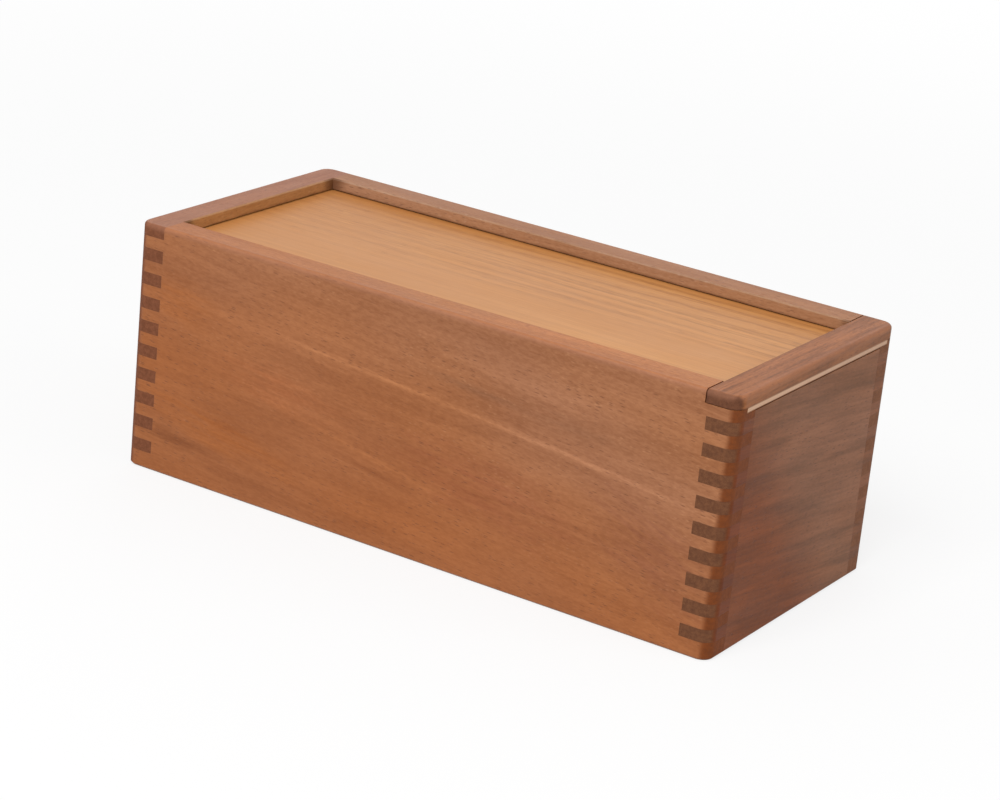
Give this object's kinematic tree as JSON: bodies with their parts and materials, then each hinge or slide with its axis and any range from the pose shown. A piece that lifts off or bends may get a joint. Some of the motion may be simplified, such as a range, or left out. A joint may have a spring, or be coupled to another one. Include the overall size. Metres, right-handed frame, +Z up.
{
  "type": "slide-top chess box",
  "caption": "Oblong comb-jointed hardwood box with a thin lid panel that slides out in grooves by an end rail, divided and baize-lined inside for chess pieces.",
  "frame": {"origin": "under the middle of the closed box, on the surface that it stands on", "axes": "+X along the length towards the end that the lid leaves by, +Y to the back, +Z up"},
  "size_m": [0.279, 0.129, 0.105],
  "materials": {
    "mahogany": "satin wax over open grain",
    "lid_wood": "satin wax over fine straight grain",
    "plywood": "sanded, unfinished",
    "baize": "short felt nap"
  },
  "bodies": {
    "box": {"side_board_front": "mahogany", "side_board_back": "mahogany", "end_board_left": "mahogany", "end_board_right": "mahogany", "bottom_panel": "plywood", "divider": "mahogany", "baize_left": "baize", "baize_right": "baize"},
    "lid": {"lid_panel": "lid_wood", "lid_end_rail": "mahogany"}
  },
  "joints": [
    {"name": "lid_slide", "type": "slide", "parent": "box", "child": "lid", "axis": [1, 0, 0], "range_m": [0, 0.262]}
  ]
}
